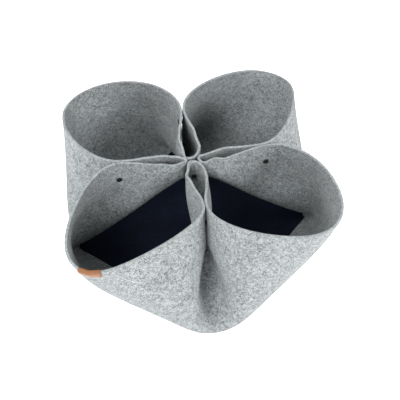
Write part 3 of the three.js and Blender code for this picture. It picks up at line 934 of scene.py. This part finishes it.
def stud_material():
    """Black-plated metal with a soft polish."""
    colours = bpy.context.scene.tunnel_bed_colours
    material, shader, wire = new_material("stud")
    where = wire.place()
    marks = wire.noise(where, 500.0, 3.0, 0.6)
    metal = rgb(colours.stud_metal)
    wire.put(shader.inputs["Base Color"], wire.mix(marks, metal, rgb(metal, 1.8)))
    wire.put(shader.inputs["Roughness"], wire.math("ADD", wire.math("MULTIPLY", marks, 0.2), 0.22))
    set_values(shader, Metallic=0.6)
    return material


def lit_floor(colour, glow):
    """A smooth pale floor that is lit from below."""
    material, shader, wire = new_material("floor")
    where = wire.place()
    shade = rgb(colour, 0.995)
    wire.put(shader.inputs["Base Color"], wire.mix(wire.noise(where, 3.0), shade, rgb(colour)))
    set_values(shader, Roughness=0.9, Emission_Color=rgb(colour), Emission_Strength=glow)
    return material


# ---------------------------------------------------------------- operators


class TUNNEL_BED_OT_stage(bpy.types.Operator):
    """Adds the floor, the lights and the camera."""

    bl_idname = "tunnel_bed.stage"
    bl_label = "Stage"

    def execute(self, context):
        stage = context.scene.tunnel_bed_stage
        aim = Vector(stage.aim)
        level, turn = math.cos(stage.elevation), stage.azimuth
        back = Vector((math.sin(turn) * level, -math.cos(turn) * level, math.sin(stage.elevation)))
        data = bpy.data.cameras.new("camera")
        data.lens = stage.lens
        data.sensor_width = 36.0
        camera = bpy.data.objects.new("camera", data)
        camera.location = aim + back * stage.distance
        camera.rotation_euler = (-back).to_track_quat("-Z", "Y").to_euler()
        context.scene.collection.objects.link(camera)
        context.scene.camera = camera

        ends = [(x * STAGE_REACH, y * STAGE_REACH, 0) for x, y in ((-1, -1), (1, -1), (1, 1), (-1, 1))]
        floor = new_object("floor", ends, [(0, 1, 2, 3)])
        floor.data.materials.append(lit_floor(stage.floor, stage.floor_glow))

        for name, (spot, size, watts) in LIGHTS.items():
            lamp = bpy.data.lights.new(name, "AREA")
            lamp.size = size
            lamp.energy = watts
            light = bpy.data.objects.new(name, lamp)
            light.location = spot
            way = Vector(LIT_POINT) - Vector(spot)
            light.rotation_euler = way.to_track_quat("-Z", "Y").to_euler()
            context.scene.collection.objects.link(light)
        world = bpy.data.worlds.new("studio")
        world.use_nodes = True
        world.node_tree.nodes["Background"].inputs[0].default_value = (1, 1, 1, 1)
        world.node_tree.nodes["Background"].inputs[1].default_value = stage.room_light
        context.scene.world = world
        context.scene.view_settings.view_transform = "Standard"
        return {"FINISHED"}


class TUNNEL_BED_OT_felt(bpy.types.Operator):
    """Drapes the felt sheet and gives it its thickness."""

    bl_idname = "tunnel_bed.felt"
    bl_label = "Felt sheet"

    def execute(self, context):
        sizes = context.scene.tunnel_bed_sizes
        sheet, _place = felt_grid()

        def keep(row, column):
            corners = sheet.absent[row:row + 2, column:column + 2]
            return not corners.any()

        surface = mid_surface("felt_middle", keep, with_bows=True)
        half = sizes.felt_thickness / 2
        felt = slab("felt", surface, half, -half, sizes.edge_chamfer)
        felt.data.materials.append(felt_material())
        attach(felt, "root")
        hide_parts("felt_sheet")
        return {"FINISHED"}


class TUNNEL_BED_OT_mat(bpy.types.Operator):
    """Lays the thin mat on the felt's floor."""

    bl_idname = "tunnel_bed.mat"
    bl_label = "Floor mat"

    def execute(self, context):
        sizes = context.scene.tunnel_bed_sizes
        sheet, _place = felt_grid()
        reach = FLOOR_HALF + WALL_STEPS[0] + 1e-6

        def keep(row, column):
            block = (slice(row, row + 2), slice(column, column + 2))
            far, near = sheet.reach[block].max(), sheet.inner[block].max()
            return far < reach and far + near < 2 * reach - MAT_CORNER

        surface = mid_surface("mat_middle", keep)
        lower = sizes.felt_thickness / 2 + FACE_GAP
        mat = slab("mat", surface, lower + sizes.mat_thickness, lower, MAT_CHAMFER)
        mat.data.materials.append(mat_material())
        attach(mat, "root")
        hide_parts("floor_mat")
        return {"FINISHED"}


def sheet_spot(along_x, along_y):
    """Middle surface point and normal at a flat place inside the sheet, in metres."""
    sheet, place = felt_grid()
    spots = []
    for x, y in ((along_x, along_y), (along_x + 1.0, along_y), (along_x, along_y + 1.0)):
        column = int(np.clip(np.searchsorted(sheet.lines, x) - 1, 0, sheet.count - 2))
        row = int(np.clip(np.searchsorted(sheet.lines, y) - 1, 0, sheet.count - 2))
        u = (x - sheet.lines[column]) / (sheet.lines[column + 1] - sheet.lines[column])
        v = (y - sheet.lines[row]) / (sheet.lines[row + 1] - sheet.lines[row])
        low = place[row, column] * (1 - u) + place[row, column + 1] * u
        high = place[row + 1, column] * (1 - u) + place[row + 1, column + 1] * u
        spots.append(low * (1 - v) + high * v)
    normal = np.cross(spots[1] - spots[0], spots[2] - spots[0])
    return spots[0], normal / np.linalg.norm(normal)


class TUNNEL_BED_OT_tag(bpy.types.Operator):
    """Folds the leather tag over the front mouth's edge and sews it on."""

    bl_idname = "tunnel_bed.tag"
    bl_label = "Leather tag"

    def execute(self, context):
        sizes = context.scene.tunnel_bed_sizes
        gap = sizes.felt_thickness / 2 + FACE_GAP
        thick, leg = sizes.tag_thickness, sizes.tag_leg
        width = FLOOR_STEPS[-1]
        stations = np.linspace(TAG_INSET, width - TAG_INSET, TAG_SECTIONS)
        inner_turn = [(math.sin(a), math.cos(a)) for a in np.linspace(0, math.pi, TAG_TURNS)]
        points, faces = [], []
        profile_size = 0
        for x in stations:
            edge, normal = sheet_spot(x, -HALF + 0.01)
            foot, foot_normal = sheet_spot(x, -HALF + leg / MM)
            out = edge - foot
            out /= np.linalg.norm(out)
            corner = gap + thick
            ring = [foot + foot_normal * gap]
            ring += [edge + normal * gap + out * TAG_ROOM, edge - normal * gap + out * TAG_ROOM]
            ring += [foot - foot_normal * gap, foot - foot_normal * corner]
            ring += [edge - normal * corner]
            for s, c in inner_turn[::-1]:
                ring.append(edge + normal * (corner * c) + out * (TAG_FOLD * s))
            ring += [foot + foot_normal * corner]
            profile_size = len(ring)
            points += ring
        for k in range(len(stations) - 1):
            for q in range(profile_size):
                a, b = k * profile_size + q, k * profile_size + (q + 1) % profile_size
                faces.append((a, a + profile_size, b + profile_size, b))
        faces.append(tuple(range(profile_size)))
        last = (len(stations) - 1) * profile_size
        faces.append(tuple(reversed(range(last, last + profile_size))))
        tag = new_object("leather_tag_strip", points, faces, smooth=False)
        soften = tag.modifiers.new("soften", "BEVEL")
        soften.width = TAG_CHAMFER
        soften.segments = 2
        soften.limit_method = "ANGLE"
        soften.angle_limit = math.radians(40)
        applied(tag)
        for polygon in tag.data.polygons:
            polygon.use_smooth = True
        tag.data.materials.append(leather_material())
        tag["on_the_felt"] = True
        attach(tag, "root")
        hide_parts("leather_tag")

        stitches, stitch_faces = [], []
        for x in (STITCH_INSET, width - STITCH_INSET):
            for k in range(STITCHES):
                depth = STITCH_FIRST + STITCH_APART * k
                for face in (1, -1):
                    spot, normal = sheet_spot(x, -HALF + depth)
                    ahead, _n = sheet_spot(x, -HALF + depth + 1.0)
                    along = (ahead - spot) / np.linalg.norm(ahead - spot)
                    centre = spot + normal * face * (gap + thick + STITCH_SINK)
                    self.stitch(stitches, stitch_faces, centre, along, normal * face)
        thread = new_object("tag_stitches", stitches, stitch_faces)
        thread.data.materials.append(thread_material())
        thread["on_the_felt"] = True
        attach(thread, "root")
        return {"FINISHED"}

    @staticmethod
    def stitch(points, faces, centre, along, up):
        """One sewn stitch: a short bowed thread lying on the leather."""
        side = np.cross(along, up)
        start = len(points)
        for k in range(STITCH_RINGS):
            share = -1 + 2 * k / (STITCH_RINGS - 1)
            radius = STITCH_RADIUS * math.sqrt(max(0.05, 1 - share**4))
            rise = STITCH_RISE * (1 - share**2) - STITCH_SINK
            middle = centre + along * share * STITCH_HALF + up * rise
            for q in range(STITCH_SIDES):
                turn = 2 * math.pi * q / STITCH_SIDES
                points.append(middle + side * radius * math.cos(turn) + up * radius * math.sin(turn))
        faces += tube_faces(STITCH_RINGS, STITCH_SIDES, start)


class TUNNEL_BED_OT_studs(bpy.types.Operator):
    """Presses the studs through the corners' layers and rivets the tips."""

    bl_idname = "tunnel_bed.studs"
    bl_label = "Press studs"

    def execute(self, context):
        sizes = context.scene.tunnel_bed_sizes
        metal = stud_material()
        radius, height = sizes.cap_radius, sizes.cap_height
        cap = [
            (radius * 0.6, 0.0), (radius * 0.97, 0.0), (radius, 0.0003), (radius, 0.0008),
            (radius * 0.96, 0.0013), (radius * 0.84, height * 0.82), (radius * 0.6, height * 0.95),
            (radius * 0.3, height), (0.0002, height),
        ]
        seat = sizes.felt_thickness / 2 + FACE_GAP
        stud, inset = HALF - sum(HALF_STEPS[:STUD_CELLS]), HALF - sum(BORDER_STEPS)
        spots = {"x": (stud, inset), "y": (inset, stud)}
        for name, corner in CORNERS.items():
            for side, (flat_x, flat_y) in spots.items():
                spot, normal = sheet_spot(corner["x"] * flat_x, corner["y"] * flat_y)
                piece = lathe(f"cap_{name}_{side}", cap, spot + normal * seat, normal)
                self.finish_stud(piece, metal, f"stud_cap_{name}_{side}")
                kind = "knob" if side == "x" else "socket"
                profile = KNOB_PROFILE if side == "x" else SOCKET_PROFILE
                across = np.array([corner["y"], -corner["x"], 0.0]) * DIAGONAL
                across *= np.sign(across @ -spot)
                half = lathe(f"{kind}_{name}", profile, spot + across * seat, across)
                self.finish_stud(half, metal, f"stud_{kind}_{name}")
        body = [(r, RIVET_REACH + h) for r, h in cap]
        shank = [(RIVET_SHANK, -RIVET_REACH), (RIVET_SHANK, RIVET_REACH)]
        profile = [(r, -h) for r, h in reversed(body)] + shank + body
        rivet = lathe("tip_rivet_body", profile, (0, 0, RIVET_HEIGHT), (DIAGONAL, -DIAGONAL, 0))
        self.finish_stud(rivet, metal, "tip_rivet")
        return {"FINISHED"}

    @staticmethod
    def finish_stud(piece, metal, node):
        piece.data.materials.append(metal)
        piece["on_the_felt"] = True
        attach(piece, "root")
        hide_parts(node)


class TUNNEL_BED_PT_panel(bpy.types.Panel):
    """Lists the steps that build the bed."""

    bl_idname = "TUNNEL_BED_PT_panel"
    bl_label = "Tunnel Bed"
    bl_space_type = "VIEW_3D"
    bl_region_type = "UI"
    bl_category = "Tunnel Bed"

    def draw(self, context):
        scene = context.scene
        for group in (scene.tunnel_bed_sizes, scene.tunnel_bed_colours, scene.tunnel_bed_stage):
            for name in type(group).__annotations__:
                self.layout.prop(group, name)
        for operator in OPERATORS:
            self.layout.operator(operator.bl_idname)


GROUPS = {
    "tunnel_bed_sizes": TunnelBedSizes,
    "tunnel_bed_colours": TunnelBedColours,
    "tunnel_bed_stage": TunnelBedStage,
}
OPERATORS = (
    TUNNEL_BED_OT_stage,
    TUNNEL_BED_OT_felt,
    TUNNEL_BED_OT_mat,
    TUNNEL_BED_OT_tag,
    TUNNEL_BED_OT_studs,
)


def register():
    for name, group in GROUPS.items():
        bpy.utils.register_class(group)
        setattr(bpy.types.Scene, name, bpy.props.PointerProperty(type=group))
    for operator in OPERATORS:
        bpy.utils.register_class(operator)
    bpy.utils.register_class(TUNNEL_BED_PT_panel)


def unregister():
    bpy.utils.unregister_class(TUNNEL_BED_PT_panel)
    for operator in reversed(OPERATORS):
        bpy.utils.unregister_class(operator)
    for name, group in GROUPS.items():
        delattr(bpy.types.Scene, name)
        bpy.utils.unregister_class(group)


def main():
    register()
    bpy.ops.tunnel_bed.stage()
    bpy.ops.tunnel_bed.tag()
    bpy.ops.tunnel_bed.studs()
    bpy.ops.tunnel_bed.felt()
    bpy.ops.tunnel_bed.mat()


if __name__ == "__main__":
    main()
